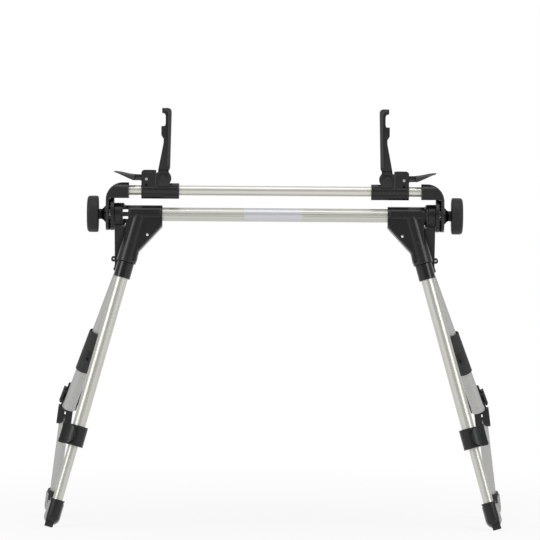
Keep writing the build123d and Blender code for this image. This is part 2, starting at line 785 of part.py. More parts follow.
# Tablet clamp
def clamp_base():
    """Sliding base: sleeve on the upper bar, lever housing and arm backing."""
    half = clamp_depth / 2
    body = block(clamp_inner_x, clamp_outer_x, -half, half, -clamp_bottom, clamp_top)
    body = chamfer(body.edges().filter_by(Axis.X), clamp_edge)
    housing_x = clamp_outer_x - housing_length
    housing = block(housing_x, clamp_outer_x, -half, half, 0, housing_top)
    corners = housing.edges().filter_by(Axis.Y).sort_by(Axis.Z)[2:]
    body += fillet(corners, housing_corner)
    pivot = Pos(X=pivot_x, Z=pivot_rise)
    backing = block(pivot_x - backing_width / 2, housing_x, 0, half, 0, pivot_rise)
    body += backing + pivot * y_rod(backing_radius, 0, half)
    recess_x = pivot_x - backing_width / 2 - clamp_edge
    body -= block(recess_x, housing_x, -half - overrun, 0, lug_recess_floor, housing_top + overrun)
    cheek = pivot * y_rod(backing_radius, -half, -cheek_inner_y) + block(
        pivot_x - cheek_in, housing_x, -half, -cheek_inner_y, 0, pivot_rise)
    cheek &= block(pivot_x - cheek_in, housing_x, -half, half, 0, housing_top)
    body += cheek
    slot_x = housing_x + slot_back
    slot_half = slot_width / 2
    slot_end = clamp_outer_x + overrun
    body -= block(slot_x, slot_end, -slot_half, slot_half, 0, housing_top + overrun)
    body -= x_rod(upper_radius + running_fit, clamp_inner_x - overrun, clamp_outer_x + overrun)
    body -= Pos(X=rivet_x, Z=rivet_rise) * y_rod(rivet_diameter / 2, -half, half)
    key = Box(key_hole_width, half, key_hole_width)
    body -= Pos(X=rivet_x, Y=-half, Z=key_hole_rise) * key
    body -= pivot * y_rod(pivot_diameter / 2, -half, half)
    return upper_bar_place * body


def clamp_pins():
    """Lever rivet and arm pivot of one clamp."""
    half = clamp_depth / 2
    rivet = Pos(X=rivet_x, Z=rivet_rise) * y_rod(rivet_diameter / 2, -half, half)
    pivot = Pos(X=pivot_x, Z=pivot_rise) * y_rod(pivot_diameter / 2, -half, half)
    return [upper_bar_place * rivet, upper_bar_place * pivot]


def clamp_lever():
    """Thumb lever with a cam round its rivet."""
    tip = lever_length
    dip = lever_length * lever_dip_share
    heel = lever_length * lever_heel_share
    outline = [
        (0, lever_root_top - lever_root_bottom),
        (dip, lever_root_top - lever_root_bottom),
        (tip, lever_tip_rise),
        (tip, lever_tip_rise - lever_tip_thickness),
        (dip + heel, lever_root_bottom),
        (heel + lever_root_bottom, -lever_root_bottom),
        (0, -lever_root_top + lever_root_bottom),
    ]
    wide = plate_xz(outline, -thumb_width / 2, thumb_width / 2)
    wide &= block(lever_web_length, tip, -thumb_width, thumb_width, -thumb_width, thumb_width)
    corners = wide.edges().filter_by(Axis.Z).sort_by(Axis.X)[-2:]
    wide = fillet(corners, thumb_width / 3)
    web = plate_xz(outline, -lever_thickness / 2, lever_thickness / 2)
    web &= block(0, lever_web_length + overrun, -thumb_width, thumb_width, -thumb_width, thumb_width)
    body = wide + web + y_rod(cam_radius, -lever_thickness / 2, lever_thickness / 2)
    body -= y_rod(rivet_diameter / 2 + running_fit, -thumb_width, thumb_width)
    return upper_bar_place * Pos(X=rivet_x, Z=rivet_rise) * body


def hook_arm():
    """Upright arm with a groove for the tablet's edge and a hooked top."""
    half = clamp_depth / 2
    outline = [
        (-arm_lip_in, arm_top),
        (hook_out, arm_top),
        (hook_out, arm_top - hook_height),
        (-notch_in, arm_top - hook_height),
        (-notch_in, notch_bottom),
        (arm_lug_out, notch_bottom),
        (arm_lug_out, arm_lug_bottom),
        (-arm_waist_in, arm_waist),
        (arm_heel_out, arm_heel),
        (lug_radius, pivot_rise),
        (-lug_radius, pivot_rise),
        (-arm_foot_in, arm_heel),
        (-arm_lip_in, arm_groove_start),
    ]
    body = plate_xz(outline, -half, half)
    lug_front = side_gap - cheek_inner_y
    body += Pos(Z=pivot_rise) * y_rod(lug_radius, lug_front, -side_gap)
    backing_top = pivot_rise + backing_radius + side_gap
    body -= block(-backing_width, backing_width, -side_gap, half + overrun, 0, backing_top)
    body -= block(-backing_width, backing_width, -half - overrun, lug_front, 0, backing_top)
    groove_half = groove_width / 2
    groove_x = arm_groove - arm_lip_in
    body -= block(-backing_width, groove_x, -groove_half, groove_half, arm_groove_start, arm_top + overrun)
    body -= Pos(Z=pivot_rise) * y_rod(pivot_diameter / 2 + running_fit, -half - overrun, 0)
    return upper_bar_place * Pos(X=pivot_x) * body


# Writing the parts
def as_list(shape):
    """One solid or several, as a list."""
    return shape if isinstance(shape, list) else [shape]


def write(name, shape):
    """Write one node; a group of solids becomes a compound."""
    solids = []
    for piece in as_list(shape):
        solids.extend(piece.solids())
    node = solids[0] if len(solids) == 1 else Compound(children=solids)
    export_step(node, f"parts/{name}.step")


def other_side(shape):
    """The same pieces on the -X side."""
    return [mirror(piece, about=Plane.YZ) for piece in as_list(shape)]


def write_pair(name, shape):
    """Write a right-hand node and its mirrored left-hand node."""
    write(f"{name}_right", shape)
    write(f"{name}_left", other_side(shape))


def write_group(name, shape):
    """Write one node that holds the pieces of both sides."""
    write(name, as_list(shape) + other_side(shape))


def main():
    """Build and write every node."""
    os.makedirs("parts", exist_ok=True)
    write("lower_bar", lower_bar())
    write("upper_bar", upper_bar())
    write_group("bar_end_plugs", bar_end_plug())
    write_group("bracket_pins", bracket_pin())
    write_group("front_collars", front_collar())
    write_group("front_lever_pins", front_lever_pin())
    write_group("toothed_discs", toothed_disc())
    write_group("dome_washers", dome_washer())
    write("front_bracket_right", front_bracket())
    write("front_bracket_left", other_side(windowed_bracket()))
    write_pair("front_upper_tube", front_upper_tube())
    write_pair("front_lock", front_lock())
    write_pair("front_lever", front_lever())
    write_pair("front_lower_tube", front_lower_tube())
    write_pair("front_foot", foot(front_foot_place))
    write_pair("front_foot_pad", foot_pad(front_foot_place, front_splay, front_tilt))
    write_pair("rear_bracket", rear_bracket())
    write_pair("rear_upper_tube", rear_upper_tube())
    write_pair("rear_grip", rear_grip())
    write_pair("rear_middle_tube", rear_middle_tube())
    write_pair("knee_fork", knee_fork())
    write_pair("rear_pins", rear_pins())
    write_pair("rear_lever", rear_lever())
    write_pair("rear_knuckle", rear_knuckle())
    write_pair("rear_lower_tube", rear_lower_tube())
    write_pair("rear_foot", foot(rear_foot_place))
    write_pair("rear_foot_pad", foot_pad(rear_foot_place, lower_splay, rear_tilt))
    write_pair("elbow", elbow())
    write_pair("knob", knob())
    write_pair("knob_bolt", knob_bolt())
    write_pair("clamp_base", clamp_base())
    write_pair("clamp_pins", clamp_pins())
    write_pair("clamp_lever", clamp_lever())
    write_pair("hook_arm", hook_arm())


main()
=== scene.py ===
"""Adjustable tablet floor stand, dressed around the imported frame.

Shapes are drawn in millimetres in the local frame of their sub-assembly, on the right-hand side,
and are mirrored for the left-hand side. Their place is written into their mesh, in metres.
"""
from __future__ import annotations

import logging
from dataclasses import dataclass, field
from enum import Enum
from math import cos, hypot, pi, radians, sin
from typing import Sequence

import bmesh
import bpy
from mathutils import Euler, Matrix, Vector


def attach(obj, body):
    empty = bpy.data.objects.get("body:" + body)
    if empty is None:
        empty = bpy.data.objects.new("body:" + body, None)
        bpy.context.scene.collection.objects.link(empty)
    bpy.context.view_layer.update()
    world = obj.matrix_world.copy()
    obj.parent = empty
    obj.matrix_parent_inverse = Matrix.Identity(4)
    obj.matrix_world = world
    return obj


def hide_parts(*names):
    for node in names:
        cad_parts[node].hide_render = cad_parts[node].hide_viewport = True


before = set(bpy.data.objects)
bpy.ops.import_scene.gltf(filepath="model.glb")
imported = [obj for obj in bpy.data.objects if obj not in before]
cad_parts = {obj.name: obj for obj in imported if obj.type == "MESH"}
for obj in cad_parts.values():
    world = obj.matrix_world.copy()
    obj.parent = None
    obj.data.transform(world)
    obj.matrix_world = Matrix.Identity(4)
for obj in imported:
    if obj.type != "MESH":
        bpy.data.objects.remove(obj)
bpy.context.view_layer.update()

LOG = logging.getLogger("tablet_stand")
MM = 0.001
Point = tuple[float, float]
Colour = tuple[float, float, float]


class Side(Enum):
    """Left or right half of the stand, as the sign of its X."""

    LEFT = -1
    RIGHT = 1

    @property
    def label(self) -> str:
        """The side's name, as the CAD nodes carry it."""
        return self.name.lower()

    @property
    def mirror(self) -> Matrix:
        """The matrix that takes a right-hand shape to this side."""
        return Matrix.Diagonal((self.value, 1, 1, 1))


class Slot(Enum):
    """Material slots of the record, passed along with the made pieces but not given to them."""

    BAR = "bar_aluminium"
    UPPER_BAR = "upper_bar_aluminium"
    REAR = "rear_aluminium"
    PLASTIC = "black_plastic"
    COLLAR = "collar_black"
    KNOB = "knob_black"
    GREY = "knuckle_grey"


def add(name: str, data: bpy.types.ID) -> bpy.types.Object:
    """A new object in the scene."""
    thing = bpy.data.objects.new(name, data)
    bpy.context.scene.collection.objects.link(thing)
    return thing


# Node trees


class Wire:
    """An output socket of a recipe's node tree. Arithmetic on it adds Math nodes."""

    def __init__(self, recipe: Recipe, socket: bpy.types.NodeSocket) -> None:
        """Keeps the socket and the recipe that it belongs to."""
        self.recipe = recipe
        self.socket = socket

    def math(self, operation: str, first: Wire | float, second: Wire | float = 0.0) -> Wire:
        """The result of a Math node."""
        return self.recipe.node("Math", {"operation": operation}, {0: first, 1: second})

    def __add__(self, other: Wire | float) -> Wire:
        """Sum."""
        return self.math("ADD", self, other)

    __radd__ = __add__

    def __rsub__(self, other: float) -> Wire:
        """Difference from a number on the left."""
        return self.math("SUBTRACT", other, self)

    def __mul__(self, other: Wire | float) -> Wire:
        """Product."""
        return self.math("MULTIPLY", self, other)

    __rmul__ = __mul__

    def larger(self, other: Wire | float) -> Wire:
        """The larger of two values."""
        return self.math("MAXIMUM", self, other)

    def smaller(self, other: Wire | float) -> Wire:
        """The smaller of two values."""
        return self.math("MINIMUM", self, other)


class Recipe:
    """A material, or the world, while its nodes are being added."""

    BEVEL_SAMPLES = 6
    FINE_DETAIL = 3.0
    COLOUR_A, COLOUR_B, COLOUR_OUT = 6, 7, 2

    def __init__(self, owner: bpy.types.Material | bpy.types.World) -> None:
        """Empties the owner's node tree."""
        owner.use_nodes = True
        self.owner = owner
        self.tree = owner.node_tree
        self.tree.nodes.clear()

    def node(
        self, kind: str, settings: dict[str, object], values: dict[int | str, object], out: int | str = 0
    ) -> Wire:
        """Adds a node.

        Args:
            kind: The node's type without its ShaderNode prefix.
            settings: Its own properties, set first; stops gives a colour ramp's stops.
            values: Its input sockets' numbers, colours, or wires.
            out: The output that is wanted.

        Returns:
            The wanted output.
        """
        added = self.tree.nodes.new(f"ShaderNode{kind}")
        for name, value in settings.items():
            if name == "stops":
                self._set_stops(added.color_ramp, value)
            else:
                setattr(added, name, value)
        for name, value in values.items():
            if isinstance(value, Wire):
                self.tree.links.new(value.socket, added.inputs[name])
            else:
                added.inputs[name].default_value = value
        return Wire(self, added.outputs[out])

    @staticmethod
    def _set_stops(ramp: bpy.types.ColorRamp, stops: Sequence[Point]) -> None:
        """Writes grey stops, given as position and level, into a ramp."""
        while len(ramp.elements) < len(stops):
            ramp.elements.new(0.5)
        for element, (position, level) in zip(ramp.elements, stops):
            element.position = position
            element.color = (level, level, level, 1.0)

    def stretched(self, direction: Vector, along: float, size: float) -> Wire:
        """Object coordinates for a grain that runs along a direction.

        Args:
            direction: The grain's direction.
            along: How many times longer than wide the grain is.
            size: The grain's width in millimetres.

        Returns:
            Coordinates with one unit to the grain's width.
        """
        turn = Vector((0, 0, 1)).rotation_difference(direction).to_euler()
        place = self.node("TexCoord", {}, {}, "Object")
        scale = (size * MM, size * MM, along * size * MM)
        values = {"Vector": place, "Rotation": turn, "Scale": scale}
        return self.node("Mapping", {"vector_type": "TEXTURE"}, values)

    def noise(self, place: Wire, scale: float = 1.0, detail: float = 2.0) -> Wire:
        """Noise from 0 to 1 at a place."""
        return self.node("TexNoise", {}, {"Vector": place, "Scale": scale, "Detail": detail}, "Fac")

    def shade(self, value: Wire, low: Colour, high: Colour) -> Wire:
        """A colour between two, by a value."""
        values = {"Factor": value, self.COLOUR_A: (*low, 1.0), self.COLOUR_B: (*high, 1.0)}
        return self.node("Mix", {"data_type": "RGBA"}, values, self.COLOUR_OUT)

    def bump(self, height: Wire, distance: float, soft_edge: float = 0.0) -> Wire:
        """A normal bent by a height.

        Args:
            height: The height, in units of distance.
            distance: Its depth in millimetres.
            soft_edge: The radius in millimetres that sharp edges are shown with, or 0.

        Returns:
            The normal.
        """
        values: dict[int | str, object] = {"Height": height, "Distance": distance * MM, "Strength": 1.0}
        if soft_edge:
            values["Normal"] = self.node("Bevel", {"samples": self.BEVEL_SAMPLES}, {"Radius": soft_edge * MM})
        return self.node("Bump", {}, values)

    def surface(self, **sockets: object) -> bpy.types.Material:
        """Ends the material with a Principled shader, its sockets given with underscores for spaces."""
        values = {name.replace("_", " "): value for name, value in sockets.items()}
        self.end(self.node("BsdfPrincipled", {}, values), "OutputMaterial")
        return self.owner

    def end(self, shader: Wire, kind: str) -> None:
        """Joins a shader to an output node."""
        end = self.tree.nodes.new(f"ShaderNode{kind}")
        self.tree.links.new(shader.socket, end.inputs["Surface"])


# Finishes


@dataclass(frozen=True)
class Moulding:
    """Moulded plastic with faint grain, uneven gloss and softened edges.

    Grain, depth and soft edge are in millimetres, and patches are counted to the metre.
    """

    name: str
    colour: Colour
    light: Colour
    roughness: float
    grain: float = 0.35
    depth: float = 0.012
    soft_edge: float = 0.45
    shine: float = 0.4
    patches: float = 70.0
    smoother: float = 0.06
    by_patch: float = 0.08
    by_grain: float = 0.05

    def material(self) -> bpy.types.Material:
        """The finish as a material."""
        recipe = Recipe(bpy.data.materials.new(self.name))
        place = recipe.node("TexCoord", {}, {}, "Object")
        fine = recipe.noise(place, 1 / (self.grain * MM), Recipe.FINE_DETAIL)
        patch = recipe.noise(place, self.patches)
        return recipe.surface(
            Base_Color=recipe.shade(patch, self.colour, self.light),
            Roughness=self.roughness - self.smoother + self.by_patch * patch + self.by_grain * fine,
            Specular_IOR_Level=self.shine,
            Normal=recipe.bump(fine, self.depth, self.soft_edge),
        )


@dataclass(frozen=True)
class DrawnMetal:
    """Drawn or brushed metal with fine lines along one direction.

    Line, patch, depth and soft edge are in millimetres. A stretch is a length divided by a width.
    """

    name: str
    colour: Colour
    light: Colour
    roughness: float
    metallic: float = 1.0
    line: float = 0.16
    line_stretch: float = 160.0
    line_share: float = 0.6
    patch: float = 9.0
    patch_stretch: float = 6.0
    patch_share: float = 0.4
    depth: float = 0.0003
    soft_edge: float = 0.0
    smoother: float = 0.05
    by_line: float = 0.06
    by_patch: float = 0.05

    def material(self, direction: Vector, label: str) -> bpy.types.Material:
        """The finish as a material with lines along a direction, its name ending in a label."""
        recipe = Recipe(bpy.data.materials.new(f"{self.name}{label}"))
        lines = recipe.noise(
            recipe.stretched(direction, self.line_stretch, self.line), detail=Recipe.FINE_DETAIL)
        patch = recipe.noise(recipe.stretched(direction, self.patch_stretch, self.patch))
        mixed = self.line_share * lines + self.patch_share * patch
        return recipe.surface(
            Base_Color=recipe.shade(mixed, self.colour, self.light),
            Metallic=self.metallic,
            Roughness=self.roughness - self.smoother + self.by_line * lines + self.by_patch * patch,
            Normal=recipe.bump(lines, self.depth, self.soft_edge),
        )


BLACK: tuple[Colour, Colour] = ((0.0075, 0.0072, 0.0067), (0.0115, 0.0111, 0.0105))


def grey(low: float, high: float) -> tuple[Colour, Colour]:
    """A darker and a lighter neutral colour."""
    return (low, low, low), (high, high, high)


class Finishes:
    """Every finish on the stand."""

    plastic = Moulding("satin_black", *BLACK, 0.32)
    body = Moulding("satin_black_body", *BLACK, 0.27, soft_edge=1.1, shine=0.45)
    elbow = Moulding("satin_black_elbow", *BLACK, 0.25, soft_edge=2.2, shine=0.5)
    thumb = Moulding(
        "satin_black_thumb", (0.01, 0.0096, 0.0092), (0.014, 0.0136, 0.0131), 0.2, shine=0.6)
    cap = Moulding("pivot_black", *grey(0.012, 0.016), 0.2, soft_edge=0.4, shine=0.5)
    # rim: the black moulding coloured lighter, a painted highlight for raised rims, ridges, ledge and brow
    rim = Moulding(
        "satin_black_rim", (0.03, 0.029, 0.028), (0.042, 0.041, 0.04), 0.36, soft_edge=0.7)
    gloss = Moulding("gloss_black", *grey(0.006, 0.009), 0.14, depth=0.002, shine=0.45)
    knob = Moulding(
        "matte_black", (0.0085, 0.0083, 0.008), (0.012, 0.0117, 0.0113), 0.54, grain=0.22, depth=0.03)
    lens = Moulding("green_black", (0.011, 0.0135, 0.012), (0.017, 0.02, 0.018), 0.28)
    grip = Moulding("soft_black", (0.021, 0.021, 0.022), (0.028, 0.028, 0.03), 0.48)
    pin = Moulding("black_pin", *grey(0.012, 0.018), 0.3, soft_edge=0.2)
    shell = Moulding("shell_grey", (0.36, 0.36, 0.35), (0.42, 0.42, 0.41), 0.4)
    rubber = Moulding("pad_rubber", *grey(0.012, 0.02), 0.72, grain=0.5, depth=0.04)
    tube = DrawnMetal("drawn_aluminium", (0.6, 0.595, 0.55), (0.64, 0.635, 0.59), 0.38)
    plain_tube = DrawnMetal("satin_aluminium", (0.68, 0.67, 0.615), (0.72, 0.71, 0.655), 0.38)
    dull_tube = DrawnMetal(
        "dull_aluminium", (0.48, 0.48, 0.465), (0.52, 0.52, 0.505), 0.5, metallic=0.4)
    plate = DrawnMetal("blank_plate", (0.6, 0.61, 0.64), (0.66, 0.67, 0.7), 0.36, metallic=0.6)
    steel = DrawnMetal("turned_steel", *grey(0.5, 0.6), 0.28, soft_edge=0.15)


# Shapes


class Part:
    """A closed mesh in millimetres, shaped by bmesh operators."""

    MERGE = 1e-4

    def __init__(self, mesh: bmesh.types.BMesh | None = None) -> None:
        """Starts from a mesh, or from nothing."""
        self.mesh = mesh or bmesh.new()

    @classmethod
    def turned(cls, profile: Sequence[Point], ring: bool = False, steps: int = 64) -> Part:
        """A profile spun round the Z axis.

        Args:
            profile: Points as radius and height.
            ring: Whether the profile closes on itself instead of ending on the axis.
            steps: The number of facets.

        Returns:
            The turned part.
        """
        mesh = bmesh.new()
        corners = [mesh.verts.new((radius, 0, height)) for radius, height in profile]
        pairs = list(zip(corners, corners[1:]))
        if ring:
            pairs.append((corners[-1], corners[0]))
        edges = [mesh.edges.new(pair) for pair in pairs]
        bmesh.ops.spin(mesh, geom=corners + edges, cent=(0, 0, 0), axis=(0, 0, 1), angle=2 * pi, steps=steps,
                       use_merge=True)
        bmesh.ops.remove_doubles(mesh, verts=mesh.verts, dist=cls.MERGE)
        bmesh.ops.recalc_face_normals(mesh, faces=mesh.faces)
        return cls(mesh)

    @classmethod
    def tube(cls, outer: float, inner: float, low: float, high: float, lip: float = 0.25) -> Part:
        """A tube along Z with its outer rims chamfered."""
        return cls.turned([(inner, low), *cls._side(outer, low, high, lip), (inner, high)], ring=True)

    @classmethod
    def rod(cls, radius: float, low: float, high: float, lip: float = 0.25) -> Part:
        """A round bar along Z with chamfered ends."""
        return cls.turned([(0, low), *cls._side(radius, low, high, lip), (0, high)])

    @staticmethod
    def _side(radius: float, low: float, high: float, lip: float) -> list[Point]:
        """The outside of a round bar, with a chamfer at both ends."""
        return [(radius - lip, low), (radius, low + lip), (radius, high - lip), (radius - lip, high)]

    @classmethod
    def bullet(cls, radius: float, bottom: float, top: float, rings: int = 10) -> Part:
        """A round bar along Z with a ball end at its bottom."""
        angles = [radians(90 * step / rings) for step in range(rings + 1)]
        ball = [(radius * sin(angle), bottom + radius - radius * cos(angle)) for angle in angles]
        lip = radius / 20
        return cls.turned([*ball, (radius, top - lip), (radius - lip, top), (0, top)])

    @classmethod
    def plate(cls, outline: Sequence[Point], front: float, back: float) -> Part:
        """A flat plate between two Y, its outline given as X and Z."""
        mesh = bmesh.new()
        face = mesh.faces.new([mesh.verts.new((x, front, z)) for x, z in outline])
        grown = bmesh.ops.extrude_face_region(mesh, geom=[face])["geom"]
        moved = [item for item in grown if isinstance(item, bmesh.types.BMVert)]
        bmesh.ops.translate(mesh, vec=(0, back - front, 0), verts=moved)
        bmesh.ops.recalc_face_normals(mesh, faces=mesh.faces)
        return cls(mesh)

    def rounded(self, width: float, segments: int = 3, sharper: float = 40.0) -> Part:
        """Bevels every edge that is sharper than an angle in degrees."""
        limit = radians(sharper)
        inner = [edge for edge in self.mesh.edges if len(edge.link_faces) == 2]
        sharp = [edge for edge in inner if edge.calc_face_angle() > limit]
        bmesh.ops.bevel(self.mesh, geom=sharp, offset=width, offset_type="OFFSET", segments=segments,
                        profile=0.5, affect="EDGES", clamp_overlap=True, material=-1)
        return self

    def moved(self, matrix: Matrix) -> Part:
        """Moves the part."""
        self.mesh.transform(matrix)
        return self

    def cut(self, point: Vector, normal: Vector) -> Part:
        """Cuts away what lies beyond a plane and closes the cut."""
        everything = [*self.mesh.verts, *self.mesh.edges, *self.mesh.faces]
        bmesh.ops.bisect_plane(self.mesh, geom=everything, plane_co=point, plane_no=normal, clear_outer=True)
        rim = [edge for edge in self.mesh.edges if edge.is_boundary]
        bmesh.ops.holes_fill(self.mesh, edges=rim)
        return self

    def joined(self, *others: Part) -> Part:
        """Adds other parts to this one as shells of their own."""
        for other in others:
            carrier = bpy.data.meshes.new("carrier")
            other.mesh.to_mesh(carrier)
            self.mesh.from_mesh(carrier)
            bpy.data.meshes.remove(carrier)
        return self

    def placed(
        self, name: str, place: Matrix, material: bpy.types.Material, sharp: float
    ) -> bpy.types.Object:
        """Ends the part as an object at the origin.

        Args:
            name: The object's name.
            place: The part's frame, in millimetres.
            material: Its material.
            sharp: The angle in degrees beyond which an edge is drawn sharp.

        Returns:
            The object.
        """
        self.mesh.transform(Matrix.Scale(MM, 4) @ place)
        bmesh.ops.recalc_face_normals(self.mesh, faces=self.mesh.faces)
        data = bpy.data.meshes.new(name)
        self.mesh.to_mesh(data)
        self.mesh.free()
        data.materials.append(material)
        data.shade_smooth()
        data.set_sharp_from_angle(angle=radians(sharp))
        return add(name, data)


ALONG_X = Matrix.Rotation(pi / 2, 4, "Y")
ALONG_Y = Matrix.Rotation(-pi / 2, 4, "X")


# Frames


@dataclass(frozen=True)
class Stance:
    """Where the sub-assemblies stand, in millimetres and degrees."""

    bar_height: float = 291.1
    bar_forward: float = 31.9
    front_cross: float = 126.3
    front_splay: float = 15.5
    front_tilt: float = 6.0
    rear_cross: float = 125.0
    rear_splay: float = 19.7
    rear_tilt: float = 18.0
    lower_splay: float = 7.5
    knee_distance: float = 219.3
    upper_bar_rise: float = 22.4

    @property
    def bar(self) -> Matrix:
        """Frame on the axis of the crossbar."""
        return Matrix.Translation((0, -self.bar_forward, self.bar_height))

    @property
    def upper_bar(self) -> Matrix:
        """Frame on the axis of the upper bar."""
        return self.bar @ Matrix.Translation((0, 0, self.upper_bar_rise))

    @property
    def bracket(self) -> Matrix:
        """Frame of a front bracket, tilted with its leg."""
        return self.bar @ Matrix.Rotation(radians(-self.front_tilt), 4, "X")

    @property
    def front_leg(self) -> Matrix:
        """Frame of a front leg, its Z up the leg."""
        return self._leg(-self.front_tilt, self.front_cross, self.front_splay)

    @property
    def rear_leg(self) -> Matrix:
        """Frame of a rear leg's upper section."""
        return self._leg(self.rear_tilt, self.rear_cross, self.rear_splay)

    def _leg(self, tilt: float, cross: float, splay: float) -> Matrix:
        """Frame of a leg that leaves the bar at X cross, tilted round the bar and splayed outwards."""
        tilted = self.bar @ Matrix.Rotation(radians(tilt), 4, "X")
        return tilted @ Matrix.Translation((cross, 0, 0)) @ Matrix.Rotation(radians(-splay), 4, "Y")

    @property
    def knee(self) -> Matrix:
        """Frame of a rear leg's lower section, at its knee pin."""
        bend = Matrix.Rotation(radians(self.rear_splay - self.lower_splay), 4, "Y")
        return self.rear_leg @ Matrix.Translation((0, 0, -self.knee_distance)) @ bend

    @property
    def front_reach(self) -> float:
        """Distance down a front leg from the crossbar to the floor."""
        return self.bar_height / (cos(radians(self.front_splay)) * cos(radians(self.front_tilt)))

    @property
    def rear_reach(self) -> float:
        """Distance down a rear leg from its knee to the floor."""
        drop = self.knee_distance * cos(radians(self.rear_splay)) * cos(radians(self.rear_tilt))
        return (self.bar_height - drop) / (cos(radians(self.lower_splay)) * cos(radians(self.rear_tilt)))


@dataclass
class Workshop:
    """Places finished pieces on their bodies, and dresses CAD nodes."""

    stance: Stance = field(default_factory=Stance)
    finishes: Finishes = field(default_factory=Finishes)
    made: dict[str, bpy.types.Material] = field(default_factory=dict)

    def material(self, finish: Moulding | bpy.types.Material) -> bpy.types.Material:
        """A material as it is, or the one material of a moulded finish."""
        if not isinstance(finish, Moulding):
            return finish
        if finish.name not in self.made:
            self.made[finish.name] = finish.material()
        return self.made[finish.name]

    def metal(self, finish: DrawnMetal, place: Matrix, label: str) -> bpy.types.Material:
        """A drawn finish whose lines run along the Z of a frame."""
        key = f"{finish.name}_{label}"
        if key not in self.made:
            direction = (place.to_3x3() @ Vector((0, 0, 1))).normalized()
            self.made[key] = finish.material(direction, f"_{label}")
        return self.made[key]

    def fit(
        self, part: Part, name: str, place: Matrix, finish: Moulding | bpy.types.Material, body: str,
        slot: Slot, *nodes: str, sharp: float = 35.0
    ) -> None:
        """Ends a part as a piece that rides on its body.

        Args:
            part: The part.
            name: The piece's name.
            place: The part's frame, in millimetres.
            finish: Its finish or material.
            body: The body that it rides on.
            slot: A material slot of the record; not used.
            nodes: The CAD nodes that it stands for.
            sharp: The angle in degrees beyond which an edge is drawn sharp.
        """
        piece = part.placed(name, place, self.material(finish), sharp)
        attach(piece, body)
        if nodes:
            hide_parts(*nodes)
        LOG.info("piece %s on %s, %d faces", piece.name, body, len(piece.data.polygons))

    def dress(self, finish: Moulding | bpy.types.Material, *nodes: str) -> None:
        """Gives CAD nodes a finish or material."""
        material = self.material(finish)
        for node in nodes:
            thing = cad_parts[node]
            if not thing.material_slots:
                thing.data.materials.append(material)
            for slot in thing.material_slots:
                slot.material = material
            LOG.info("dressed %s", node)


# Sub-assemblies


@dataclass
class Crossbar:
    """Fluted lower bar with a blank plate, and the smooth upper bar."""

    shop: Workshop
    radius: float = 6.35
    bore: float = 5.15
    half_length: float = 136.0
    edge: float = 0.3
    flutes: int = 12
    flute_steps: int = 12
    flute_depth: float = 0.42
    flute_share: float = 0.3
    flute_phase: float = -10.0
    flute_sharp: float = 25.0
    plate_left: float = -29.0
    plate_right: float = 25.4
    plate_thickness: float = 0.2
    plate_spread: float = 66.0
    plate_lip: float = 0.08
    upper_radius: float = 4.65
    upper_bore: float = 3.65
    upper_half: float = 145.9

    def build(self) -> None:
        """Makes both bars and the plate."""
        self._lower()
        self._plate()
        self._upper()
        self.shop.dress(self.shop.finishes.plastic, "bar_end_plugs")

    def _lower(self) -> None:
        """The fluted bar, its flutes pressed into a turned tube."""
        end, edge = self.half_length, self.edge
        stations = [-end, -end + edge, self.plate_left - edge, self.plate_left + edge,
                    self.plate_right - edge, self.plate_right + edge, end - edge, end]
        outer = [(self.radius, x) for x in stations]
        steps = self.flute_steps * self.flutes
        part = Part.turned([(self.bore, -end), *outer, (self.bore, end)], ring=True, steps=steps)
        step = 2 * pi / self.flutes
        for vert in part.mesh.verts:
            across = hypot(vert.co.x, vert.co.y)
            plain = self.plate_left < vert.co.z < self.plate_right or abs(vert.co.z) > end - edge / 2
            if across < self.radius - edge or plain:
                continue
            turn = Vector((vert.co.x, vert.co.y)).angle_signed(Vector((1, 0))) + radians(self.flute_phase)
            share = abs((turn / step + 0.5) % 1.0 - 0.5) / (self.flute_share / 2)
            if share < 1:
                shrink = 1 - self.flute_depth * (0.5 + 0.5 * cos(pi * share)) / self.radius
                vert.co.x *= shrink
                vert.co.y *= shrink
        bar = self.shop.stance.bar @ ALONG_X
        metal = self.shop.metal(self.shop.finishes.tube, bar, "bar")
        self.shop.fit(part, "crossbar_tube", bar, metal, "frame", Slot.BAR, "lower_bar",
                      sharp=self.flute_sharp)

    def _plate(self) -> None:
        """The thin blank plate on the bar's front."""
        inner = self.radius - self.plate_thickness
        outer = self.radius + self.plate_thickness
        part = Part.tube(outer, inner, self.plate_left, self.plate_right, self.plate_lip)
        bar = self.shop.stance.bar @ ALONG_X
        front = cos(radians(self.plate_spread)) * self.radius
        part.cut(Vector((0, -front, 0)), Vector((0, 1, 0)))
        metal = self.shop.metal(self.shop.finishes.plate, bar, "plate")
        self.shop.fit(part, "crossbar_plate", bar, metal, "frame", Slot.BAR)

    def _upper(self) -> None:
        """The smooth bar that carries the clamps."""
        part = Part.tube(self.upper_radius, self.upper_bore, -self.upper_half, self.upper_half)
        bar = self.shop.stance.upper_bar @ ALONG_X
        metal = self.shop.metal(self.shop.finishes.plain_tube, bar, "upper")
        self.shop.fit(part, "upper_tube", bar, metal, "cradle", Slot.UPPER_BAR, "upper_bar")


